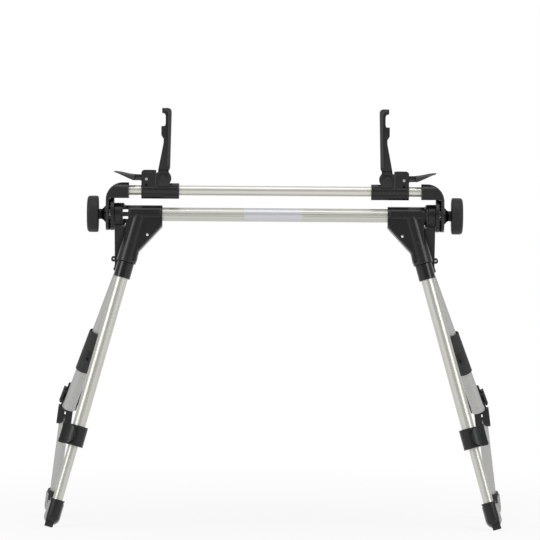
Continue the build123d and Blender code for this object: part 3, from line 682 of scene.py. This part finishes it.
@dataclass
class Foot:
    """Black cap, grey shell and rubber pad at the end of a leg."""

    shop: Workshop
    length: float = 26.7
    cap_radius: float = 6.5
    cap_bottom: float = 3.8
    lip: float = 0.5
    lip_height: float = 1.2
    lip_chamfer: float = 0.2
    shell_radius: float = 7.6
    shell_bottom: float = 2.3
    shell_out: float = 0.5
    shell_back: float = 1.0
    shell_drop: float = 1.6
    shell_turn: float = 25.0
    shell_reach: float = 1.0
    shell_round: float = 0.3
    shell_sharp: float = 60.0

    def build(self, kind: str, side: Side, leg: Matrix, reach: float) -> None:
        """Makes one foot.

        Args:
            kind: Front or rear.
            side: Its side.
            leg: Its leg's frame.
            reach: The distance down the leg to the floor.
        """
        shop = self.shop
        place = side.mirror @ leg @ Matrix.Translation((0, 0, -reach))
        cap = Part.bullet(self.cap_radius, self.cap_bottom, self.length)
        rim_low = self.length - self.lip_height
        outer, inner = self.cap_radius + self.lip, self.cap_radius - self.lip
        cap.joined(Part.tube(outer, inner, rim_low, self.length, self.lip_chamfer))
        body = f"{kind}_lower_{side.label}"
        shop.fit(cap, f"{kind}_foot_cap_{side.label}", place, shop.finishes.plastic, body,
                 Slot.PLASTIC, f"{kind}_foot_{side.label}")
        shell = Part.bullet(self.shell_radius, self.shell_bottom, rim_low - self.shell_drop)
        shell.moved(Matrix.Translation((self.shell_out, self.shell_back, 0)))
        turn = Matrix.Rotation(radians(-self.shell_turn), 4, "Z")
        away = turn.to_3x3() @ Vector((0, -1, 0))
        shell.cut(self.shell_reach * away, away).rounded(self.shell_round, 2, self.shell_sharp)
        shop.fit(shell, f"{kind}_foot_shell_{side.label}", place, shop.finishes.shell, body, Slot.GREY)
        shop.dress(shop.finishes.rubber, f"{kind}_foot_pad_{side.label}")


@dataclass
class Leg:
    """The tubes that front and rear legs share."""

    shop: Workshop
    wide: float = 6.1
    wide_bore: float = 4.78
    narrow: float = 4.7
    narrow_bore: float = 3.7
    foot_grip: float = 13.2


@dataclass
class FrontLeg(Leg):
    """Front bracket, telescopic leg and flip lock."""

    tube_top: float = 10.0
    lock: float = 215.3
    overlap: float = 74.0
    collar_radius: float = 7.85
    collar_start: float = 46.7
    collar_end: float = 61.9
    collar_lip: float = 0.5
    collar_play: float = 0.02
    web_face: float = -8.0
    rim_height: float = 0.45
    rim_root: float = 0.4
    panel_face: float = -8.55
    panel_back: float = -7.2
    panel_start: float = 107.0
    panel_end: dict[Side, float] = field(default_factory=lambda: {Side.LEFT: 136.3, Side.RIGHT: 139.5})

    def build(self, side: Side) -> None:
        """Makes one front leg."""
        shop = self.shop
        finishes = shop.finishes
        leg = side.mirror @ shop.stance.front_leg
        metal = shop.metal(finishes.tube, leg, f"front_{side.label}")
        upper = Part.tube(self.wide, self.wide_bore, -self.lock, -self.tube_top)
        shop.fit(upper, f"front_wide_tube_{side.label}", leg, metal, "frame", Slot.BAR,
                 f"front_upper_tube_{side.label}")
        end = shop.stance.front_reach - self.foot_grip
        lower = Part.tube(self.narrow, self.narrow_bore, -end, self.overlap - self.lock)
        shop.fit(lower, f"front_narrow_tube_{side.label}", leg, metal, f"front_lower_{side.label}", Slot.BAR,
                 f"front_lower_tube_{side.label}")
        shop.dress(finishes.body, f"front_bracket_{side.label}")
        bracket = side.mirror @ shop.stance.bracket
        rim, panel = self._bracket_rim(), self._sleeve_panel(side)
        # The raised rim is a modelled strip; its lighter rim finish is a painted highlight along the
        # bracket's slanted edge.
        shop.fit(rim, f"bracket_rim_{side.label}", bracket, finishes.rim, "frame", Slot.PLASTIC)
        shop.fit(panel, f"bracket_panel_{side.label}", bracket, finishes.body, "frame", Slot.PLASTIC)
        shop.dress(finishes.plastic, f"front_lock_{side.label}")
        shop.dress(finishes.lens, f"front_lever_{side.label}")
        Foot(shop).build("front", side, shop.stance.front_leg, shop.stance.front_reach)

    def _bracket_rim(self) -> Part:
        """The thin raised rim along the bracket's slanted edge."""
        rim = [(105.4, -9.6), (105.4, -11.7), (127.1, -35.2), (129.0, -44.0), (130.3, -43.8), (128.5, -34.7),
               (106.7, -11.1), (106.7, -9.6)]
        return Part.plate(rim, self.web_face - self.rim_height, self.web_face + self.rim_root).rounded(0.3, 2)

    def _sleeve_panel(self, side: Side) -> Part:
        """The raised panel on the front of the sleeve, short of the windows on the left."""
        end = self.panel_end[side]
        low = [(self.panel_start, -3.9), (end - 2.9, -3.9), (end - 0.9, -2.9), (end, -1.0)]
        high = [(x, -z) for x, z in reversed(low)]
        return Part.plate([*low, *high], self.panel_face, self.panel_back).rounded(0.35)

    def build_collars(self) -> None:
        """Makes the glossy collar of both legs."""
        both = Part()
        bore = self.wide + self.collar_play
        for side in Side:
            ring = Part.tube(self.collar_radius, bore, -self.collar_end, -self.collar_start, self.collar_lip)
            both.joined(ring.moved(side.mirror @ self.shop.stance.front_leg))
        gloss = self.shop.finishes.gloss
        self.shop.fit(both, "front_collar_rings", Matrix(), gloss, "frame", Slot.COLLAR, "front_collars")


@dataclass
class RearLeg(Leg):
    """Rear bracket, sliding section, knee and lower section."""

    upper_start: float = 47.0
    upper_end: float = 172.0
    middle_start: float = 134.1
    band_end: float = 203.2
    tip: float = 207.6
    lip: float = 0.3
    lip_chamfer: float = 0.15
    knuckle_neck: float = 3.0
    grip_start: float = 125.1
    grip_end: float = 166.4
    grip_radius: float = 7.1
    grip_chamfer: float = 0.5
    grip_mouth_chamfer: float = 0.4
    grip_plain: float = 2.0
    mouth_radius: float = 6.2
    mouth_depth: float = 3.0
    seat_depth: float = 9.0
    ridge_count: int = 28
    ridge_steps: int = 4
    ridge_depth: float = 0.22
    ridge_front: float = -3.0
    ridge_margin: float = 1.0
    ridge_skin: float = 0.1
    panel_width: float = 7.5
    panel_length: float = 10.5
    panel_middle: float = 148.6
    panel_height: float = 0.05
    panel_root: float = 1.0

    def build(self, side: Side) -> None:
        """Makes one rear leg."""
        shop = self.shop
        finishes = shop.finishes
        leg = side.mirror @ shop.stance.rear_leg
        knee = side.mirror @ shop.stance.knee
        dull = shop.metal(finishes.dull_tube, leg, f"rear_{side.label}")
        upper = Part.tube(self.narrow, self.narrow_bore, -self.upper_end, -self.upper_start)
        shop.fit(upper, f"rear_narrow_tube_{side.label}", leg, dull, f"rear_upper_{side.label}", Slot.REAR,
                 f"rear_upper_tube_{side.label}")
        middle = Part.tube(self.wide, self.wide_bore, -self.tip, -self.middle_start)
        middle.joined(Part.tube(self.wide + self.lip, self.wide, -self.tip, -self.band_end, self.lip_chamfer))
        shop.fit(middle, f"rear_wide_tube_{side.label}", leg, dull, f"rear_middle_{side.label}", Slot.REAR,
                 f"rear_middle_tube_{side.label}")
        lower_dull = shop.metal(finishes.dull_tube, knee, f"lower_{side.label}")
        end = shop.stance.rear_reach - self.foot_grip
        lower = Part.tube(self.narrow, self.narrow_bore, -end, -self.knuckle_neck)
        shop.fit(lower, f"rear_low_tube_{side.label}", knee, lower_dull, f"rear_lower_{side.label}",
                 Slot.REAR, f"rear_lower_tube_{side.label}")
        self._grip(side, leg)
        shop.dress(finishes.plastic, f"rear_bracket_{side.label}", f"knee_fork_{side.label}")
        shop.dress(finishes.lens, f"rear_lever_{side.label}")
        shop.dress(finishes.shell, f"rear_knuckle_{side.label}")
        shop.dress(finishes.pin, f"rear_pins_{side.label}")
        Foot(shop).build("rear", side, shop.stance.knee, shop.stance.rear_reach)

    def _grip(self, side: Side, leg: Matrix) -> None:
        """The ridged sleeve with its plain front panel."""
        shop = self.shop
        low, high = -self.grip_end, -self.grip_start
        radius = self.grip_radius
        chamfer, plain = self.grip_chamfer, self.grip_plain
        outer = [(radius - chamfer, low), (radius, low + chamfer), (radius, low + plain),
                 (radius, high - plain), (radius, high - chamfer), (radius - self.grip_mouth_chamfer, high)]
        mouth = [(self.mouth_radius, high), (self.mouth_radius, high - self.mouth_depth),
                 (self.wide_bore, high - self.mouth_depth), (self.wide_bore, high - self.seat_depth),
                 (self.wide, high - self.seat_depth), (self.wide, low)]
        part = Part.turned([*outer, *mouth], ring=True, steps=self.ridge_steps * self.ridge_count)
        step = 2 * pi / self.ridge_count
        for vert in part.mesh.verts:
            skin = hypot(vert.co.x, vert.co.y) > radius - self.ridge_skin
            inside = low + self.ridge_margin < vert.co.z < high - self.ridge_margin
            if skin and inside and vert.co.y > self.ridge_front:
                turn = Vector((vert.co.x, vert.co.y)).angle_signed(Vector((1, 0)))
                shrink = 1 - self.ridge_depth * (0.5 + 0.5 * cos(2 * pi * turn / step)) / radius
                vert.co.x *= shrink
                vert.co.y *= shrink
        half = self.panel_width / 2
        bottom, top = (-self.panel_middle + end * self.panel_length / 2 for end in (-1, 1))
        corners = [(-half, bottom), (half, bottom), (half, top), (-half, top)]
        panel = Part.plate(corners, -radius - self.panel_height, -radius + self.panel_root)
        body = f"rear_middle_{side.label}"
        shop.fit(part, f"rear_sleeve_{side.label}", leg, shop.finishes.grip, body, Slot.PLASTIC,
                 f"rear_grip_{side.label}")
        panel.rounded(0.3, 2)
        shop.fit(panel, f"rear_sleeve_panel_{side.label}", leg, shop.finishes.gloss, body, Slot.PLASTIC)


@dataclass
class TiltJoint:
    """Elbow, toothed discs, washer, knob and bolt at one end of the crossbar."""

    shop: Workshop
    washer_x: float = 158.1
    washer_radius: float = 7.5
    washer_bore: float = 2.3
    neck_x: float = 161.9
    neck_radius: float = 4.8
    neck_chamfer: float = 0.3
    neck_flare: float = 0.5
    knob_x: float = 164.8
    knob_width: float = 10.7
    knob_radius: float = 17.05
    knob_steps: int = 96
    bolt_radius: float = 2.0
    bolt_play: float = 0.01
    bolt_seat: float = 0.6
    bolt_sink: float = 0.7
    bolt_root: float = 6.0
    washer_gap: float = 0.1
    washer_taper: Point = (0.3, 0.5)
    knob_back: tuple[Point, ...] = ((1.6, 0.0), (0.9, 0.12), (0.3, 0.5), (0.0, 1.3))
    knob_front: tuple[Point, ...] = (
        (0.0, 3.0), (0.35, 1.7), (1.1, 0.8), (2.6, 0.25), (5.0, 0.0), (6.5, 0.0), (7.0, 0.5))
    dome: tuple[Point, ...] = ((0.3, 0.0), (0.0, 0.3), (0.0, 0.9), (0.5, 1.4), (1.6, 2.1))

    def build(self, side: Side) -> None:
        """Makes one side's joint."""
        shop = self.shop
        place = side.mirror @ shop.stance.bar @ ALONG_X
        shop.dress(shop.finishes.elbow, f"elbow_{side.label}")
        face = self.knob_x + self.knob_width
        neck, chamfer, flare = self.neck_radius, self.neck_chamfer, self.neck_flare
        profile = [
            (self.bolt_radius, self.neck_x), (neck - chamfer, self.neck_x), (neck, self.neck_x + chamfer),
            (neck, self.knob_x - flare), (neck + flare, self.knob_x),
            *[(self.knob_radius - inset, self.knob_x + depth) for inset, depth in self.knob_back],
            *[(self.knob_radius - inset, face - depth) for inset, depth in self.knob_front],
            (self.bolt_radius, face - self.bolt_seat),
        ]
        knob = Part.turned(profile, ring=True, steps=self.knob_steps)
        bolt = self.bolt_radius + self.bolt_play
        knob.joined(Part.rod(bolt, face - self.bolt_root, face - self.bolt_sink))
        shop.fit(knob, f"knob_wheel_{side.label}", place, shop.finishes.knob,
                 f"knob_{side.label}", Slot.KNOB, f"knob_{side.label}")
        shop.dress(shop.metal(shop.finishes.steel, place, f"bolt_{side.label}"), f"knob_bolt_{side.label}")

    def build_shared(self) -> None:
        """Makes the washers and dresses the toothed discs of both sides."""
        shop = self.shop
        both = Part()
        end = self.neck_x - self.washer_gap
        wider, lower = self.washer_taper
        rim = [(self.washer_radius - inset, self.washer_x + depth) for inset, depth in self.dome]
        profile = [(self.washer_bore, self.washer_x), *rim, (self.neck_radius + wider, end - lower),
                   (self.neck_radius, end), (self.washer_bore, end)]
        for side in Side:
            washer = Part.turned(profile, ring=True)
            both.joined(washer.moved(side.mirror @ shop.stance.bar @ ALONG_X))
        shop.fit(both, "domed_washers", Matrix(), shop.finishes.gloss, "frame", Slot.PLASTIC,
                 "dome_washers")
        shop.dress(shop.finishes.plastic, "toothed_discs")


@dataclass
class Clamp:
    """Sliding clamp with thumb lever and hook arm. Heights are above the upper bar."""

    shop: Workshop
    depth: float = 7.0
    rivet_x: float = 120.2
    rivet_z: float = 10.5
    pivot_x: float = 104.8
    pivot_z: float = 11.2
    lug: float = 5.6
    lug_front: float = 4.6
    lug_back: float = 0.3
    cam: float = 5.2
    web: float = 3.1
    thumb: float = 6.0
    chamfer: float = 1.9
    slant: float = 38.0
    groove: float = 4.6
    groove_overlap: float = 0.2
    lip_depth: float = 6.4
    cap: float = 2.7
    cap_height: float = 0.95
    cap_root: float = 0.1
    disc_chamfer: float = 0.35
    sleeve_radius: float = 7.65
    sleeve_start: float = 90.3
    sleeve_end: float = 124.2
    root: float = 0.3
    ridge_height: float = 0.4
    ledge_front: float = 1.6
    ledge_back: float = 2.4
    brow_height: float = 0.3
    front_height: float = 0.55
    front_root: float = 0.2
    sharper: float = 50.0

    def build(self, side: Side) -> None:
        """Makes one clamp."""
        shop = self.shop
        finishes = shop.finishes
        place = side.mirror @ shop.stance.upper_bar
        clamp, lever, arm = (f"{body}_{side.label}" for body in ("clamp", "clamp_lever", "hook_arm"))
        shop.dress(finishes.body, f"clamp_base_{side.label}")
        steel = shop.metal(finishes.steel, place @ ALONG_Y, f"rivets_{side.label}")
        shop.dress(steel, f"clamp_pins_{side.label}")
        front, back = -self.depth - self.cap_height, -self.depth + self.cap_root
        cap = self._disc(self.cap, self.pivot_x, self.pivot_z, front, back)
        # The ridge, ledge, brow and arm rims are modelled strips; their lighter rim finish is a painted
        # highlight.
        for part, name, finish, body, *nodes in (
            (self._ridge(), "clamp_ridge", finishes.rim, clamp),
            (self._front(), "clamp_front", finishes.body, clamp),
            (cap, "pivot_cap", finishes.cap, clamp),
            (self._lever(), "thumb_lever", finishes.thumb, lever, lever),
            (self._arm(), "hooked_arm", finishes.plastic, arm, arm),
            (self._rim(), "hooked_arm_rim", finishes.rim, arm),
        ):
            shop.fit(part, f"{name}_{side.label}", place, finish, body, Slot.PLASTIC, *nodes)

    def _ridge(self) -> Part:
        """The J-shaped ridge beside the cheek, the ledge at the inner end and the brow over the rivet."""
        face = -self.depth
        line = [(111.0, 19.0), (113.2, 19.0), (113.2, 18.0), (112.1, 17.7), (112.1, 4.2), (111.5, 3.0),
                (110.3, 2.5), (110.3, 3.5), (110.9, 4.1), (111.0, 5.0)]
        ridge = Part.plate(line, face - self.ridge_height, face + self.root).rounded(0.25, 2)
        ledge = Part.plate([(90.2, 5.3), (98.0, 5.3), (98.0, 6.2), (90.2, 6.2)],
                           face + self.ledge_front, face + self.ledge_back)
        brow = Part.plate([(113.6, 16.2), (119.4, 16.2), (119.4, 16.8), (113.6, 16.8)],
                          face - self.brow_height, face + self.root)
        return ridge.joined(ledge.rounded(0.2, 2), brow.rounded(0.15, 2))

    def _front(self) -> Part:
        """The arched plate over the arm's pivot, and the rounded front of the sleeve on the bar."""
        arch = [(98.4, 3.9), (98.4, 13.4), (99.0, 15.0), (100.2, 16.1), (101.8, 16.6), (109.6, 16.6),
                (109.9, 3.9)]
        back = -self.depth + self.front_root
        plate = Part.plate(arch, -self.depth - self.front_height, back).rounded(0.3)
        bulge = Part.rod(self.sleeve_radius, self.sleeve_start, self.sleeve_end).moved(ALONG_X)
        return plate.joined(bulge.cut(Vector((0, back, 0)), Vector((0, 1, 0))))

    def _disc(self, radius: float, x: float, z: float, front: float, back: float) -> Part:
        """A disc round a pin that runs along Y."""
        disc = Part.rod(radius, front, back, self.disc_chamfer)
        return disc.moved(Matrix.Translation((x, 0, z)) @ ALONG_Y)

    def _lever(self) -> Part:
        """The curved thumb lever, its upper edges slanted, and its cam."""
        over = [(131.2, 15.2), (134.5, 15.4), (139.0, 16.3), (143.1, 17.2), (147.5, 17.8), (150.4, 17.9)]
        under = [(150.2, 16.7), (146.0, 15.2), (141.7, 13.2), (137.0, 11.0), (133.0, 9.4), (131.2, 9.0)]
        web = [(118.0, 14.6), (126.0, 14.9), (132.0, 15.0), (132.0, 9.3), (126.0, 9.2), (120.0, 6.4)]
        cam = self._disc(self.cam, self.rivet_x, self.rivet_z, -self.web, self.web)
        wide = Part.plate([*over, *under], -self.thumb, self.thumb).rounded(0.4, 2, self.sharper)
        (root_x, root_z), (tip_x, tip_z) = over[0], over[-1]
        up = Vector((root_z - tip_z, 0, tip_x - root_x)).normalized()
        for face in (-1, 1):
            slant = up * sin(radians(self.slant)) + Vector((0, face * cos(radians(self.slant)), 0))
            wide.cut(Vector((root_x, face * self.thumb, root_z)) - up * self.chamfer, slant)
        return wide.joined(Part.plate(web, -self.web, self.web).rounded(0.5, 2, self.sharper), cam)

    def _arm(self) -> Part:
        """The upright arm: web, two grooved lips, hooked top and pivot lug."""
        inner = [(98.9, 19.2), (98.3, 22.0), (97.2, 71.6), (97.3, 74.4), (98.2, 76.2), (100.2, 77.0)]
        outer = [(105.9, 76.9), (105.9, 72.2), (103.4, 71.5), (102.6, 69.6), (102.6, 62.5), (103.2, 60.2),
                 (106.6, 60.0), (106.6, 51.6), (104.4, 48.0), (104.5, 44.2), (109.3, 19.2)]
        lip = Part.plate([*inner, *outer], -self.lip_depth, -self.groove).rounded(0.35, 2)
        back = Part.plate([*inner, *outer], self.groove, self.lip_depth).rounded(0.35, 2)
        half = self.groove + self.groove_overlap
        web = Part.plate([(101.0, 19.4), (101.0, 76.9), *outer], -half, half).rounded(0.3, 2)
        foot = [(99.4, 20.4), (109.1, 20.4), (110.2, self.pivot_z), (99.4, self.pivot_z)]
        root = Part.plate(foot, -self.lug_front, -self.lug_back).rounded(0.2, 2)
        lug = self._disc(self.lug, self.pivot_x, self.pivot_z, -self.lug_front, -self.lug_back)
        return lip.joined(back, web, root, lug)

    def _rim(self) -> Part:
        """The raised rims along the groove and round the hook."""
        line = [(98.6, 22.0), (97.2, 71.6), (97.3, 74.4), (98.2, 76.2), (100.2, 77.0), (104.6, 76.8),
                (104.6, 74.2), (101.6, 74.0), (100.5, 72.2), (100.5, 44.0), (101.4, 22.0)]
        strip = Part.plate(line, -self.depth, -self.groove).rounded(0.55)
        return strip.joined(Part.plate(line, self.groove, self.depth).rounded(0.55))


# Studio


@dataclass(frozen=True)
class Lamp:
    """A rectangular lamp that faces the stand, in metres. A radiance of 1 is the background's white."""

    name: str
    place: tuple[float, float, float]
    size: Point
    radiance: float


@dataclass
class Studio:
    """Floor, light and camera, in metres and degrees.

    The room's stops run from the camera's side to behind the stand.
    """

    distance: float = 4.0
    height: float = 0.357
    pitch: float = 1.68
    roll: float = 0.4
    centre: float = -0.0043
    lens: float = 285.3
    sensor: float = 36.0
    clip_end: float = 200.0
    lamp_aim: float = 0.2
    ambient: float = 0.5
    room: tuple[Point, ...] = ((0.0, 0.36), (0.07, 0.4), (0.22, 0.66), (0.8, 0.6), (0.93, 1.0))
    lamps: tuple[Lamp, ...] = (
        Lamp("right_light", (2.0, -1.7, 1.4), (1.3, 1.4), 3.2),
        Lamp("left_light", (-2.0, -1.7, 1.4), (1.3, 1.4), 3.4),
        Lamp("top_light", (0.1, -0.6, 2.3), (1.9, 1.5), 1.35),
    )
    floor_half: float = 60.0
    floor_grain: float = 900.0
    floor_dark: float = 0.8
    floor_pale: float = 0.83
    floor_white: float = 0.78
    floor_fade: float = 0.3

    def build(self, stance: Stance) -> None:
        """Sets up the room around the stand."""
        bpy.context.scene.view_settings.view_transform = "Standard"
        self._camera(stance)
        self._floor()
        self._world()
        for lamp in self.lamps:
            self._light(lamp)

    def _camera(self, stance: Stance) -> None:
        """A long lens in front of the stand, a little above the upper bar."""
        data = bpy.data.cameras.new("camera")
        data.lens = self.lens
        data.sensor_width = self.sensor
        data.clip_end = self.clip_end
        camera = add("camera", data)
        place = Matrix.Translation((self.centre, -self.distance - stance.bar_forward * MM, self.height))
        pitch = Euler((radians(90 - self.pitch), 0, 0)).to_matrix().to_4x4()
        camera.matrix_world = place @ pitch @ Matrix.Rotation(radians(self.roll), 4, "Z")
        bpy.context.scene.camera = camera

    def _light(self, lamp: Lamp) -> None:
        """Hangs up a lamp."""
        data = bpy.data.lights.new(lamp.name, "AREA")
        data.shape = "RECTANGLE"
        data.size, data.size_y = lamp.size
        data.energy = lamp.radiance * pi * lamp.size[0] * lamp.size[1]
        thing = add(lamp.name, data)
        place = Vector(lamp.place)
        aim = Vector((0, 0, self.lamp_aim)) - place
        thing.matrix_world = Matrix.Translation(place) @ aim.to_track_quat("-Z", "Y").to_matrix().to_4x4()

    def _floor(self) -> None:
        """A pale floor that keeps a soft shadow and shows white to the camera."""
        mesh = bmesh.new()
        bmesh.ops.create_grid(mesh, x_segments=1, y_segments=1, size=self.floor_half)
        data = bpy.data.meshes.new("floor")
        mesh.to_mesh(data)
        mesh.free()
        recipe = Recipe(bpy.data.materials.new("floor"))
        place = recipe.node("TexCoord", {}, {}, "Object")
        span = recipe.node("VectorMath", {"operation": "LENGTH"}, {0: place}, "Value")
        seen = self._seen(recipe)
        grain = recipe.noise(place, self.floor_grain)
        colour = recipe.shade(grain, *grey(self.floor_dark, self.floor_pale))
        pale = recipe.node("BsdfDiffuse", {}, {"Color": colour})
        white = recipe.node("Emission", {}, {"Color": (1, 1, 1, 1), "Strength": 1.0})
        share = seen * (self.floor_white + self.floor_fade * span).smaller(1.0)
        recipe.end(recipe.node("MixShader", {}, {0: share, 1: pale, 2: white}), "OutputMaterial")
        data.materials.append(recipe.owner)
        floor = add("floor", data)

    @staticmethod
    def _seen(recipe: Recipe) -> Wire:
        """1 for rays that see the room, 0 for rays that only light the stand."""
        camera = recipe.node("LightPath", {}, {}, "Is Camera Ray")
        glossy = recipe.node("LightPath", {}, {}, "Is Glossy Ray")
        through = recipe.node("LightPath", {}, {}, "Is Transmission Ray")
        return camera.larger(glossy).larger(through)

    def _world(self) -> None:
        """White to the eye, and in mirrored light white behind the stand and dimmer on the camera's side."""
        world = bpy.data.worlds.new("world")
        bpy.context.scene.world = world
        recipe = Recipe(world)
        camera = recipe.node("LightPath", {}, {}, "Is Camera Ray")
        away = recipe.node("TexCoord", {}, {}, "Generated")
        behind = 0.5 + 0.5 * recipe.node("SeparateXYZ", {}, {0: away}, "Y")
        room = recipe.node("ValToRGB", {"stops": self.room}, {"Fac": behind})
        seen = self._seen(recipe)
        strength = (self.ambient * (1.0 - seen) + room * seen).larger(camera)
        light = recipe.node("Background", {}, {"Color": (1, 1, 1, 1), "Strength": strength})
        recipe.end(light, "OutputWorld")


def main() -> None:
    """Builds the stand from its classes, then the studio."""
    logging.basicConfig(level=logging.INFO, format="%(message)s")
    shop = Workshop()
    Crossbar(shop).build()
    front = FrontLeg(shop)
    rear = RearLeg(shop)
    joint = TiltJoint(shop)
    clamp = Clamp(shop)
    for side in Side:
        front.build(side)
        rear.build(side)
        joint.build(side)
        clamp.build(side)
    front.build_collars()
    joint.build_shared()
    shop.dress(shop.finishes.pin, "bracket_pins", "front_lever_pins")
    Studio().build(shop.stance)


if __name__ == "__main__":
    main()
